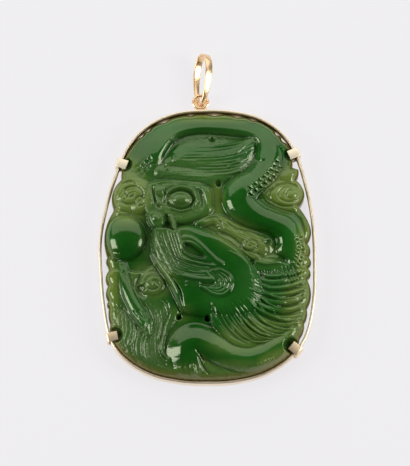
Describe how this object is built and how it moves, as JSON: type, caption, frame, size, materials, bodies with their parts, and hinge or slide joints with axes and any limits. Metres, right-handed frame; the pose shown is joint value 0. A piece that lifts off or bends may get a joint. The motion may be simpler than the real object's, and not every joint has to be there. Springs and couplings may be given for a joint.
{
  "type": "pendant",
  "caption": "Oval carved stone pendant with a dragon in relief, set in a thin gold band with folded claws, a top ring and a tapered bail.",
  "frame": {"origin": "middle of the plaque's flat back", "axes": "+X across the plaque, to the right as one looks at the carving; +Y up it, towards the bail; +Z out of the carved face. The pendant lies on its back."},
  "size_m": [0.0435, 0.0682, 0.008],
  "materials": {
    "jade": "polished",
    "gold": "polished"
  },
  "bodies": {
    "root": {"jade_plaque": "jade", "frame_band": "gold", "claw_upper_right": "gold", "claw_upper_left": "gold", "claw_lower_left": "gold", "claw_lower_right": "gold", "hanging_ring": "gold", "bail": "gold"}
  },
  "joints": []
}
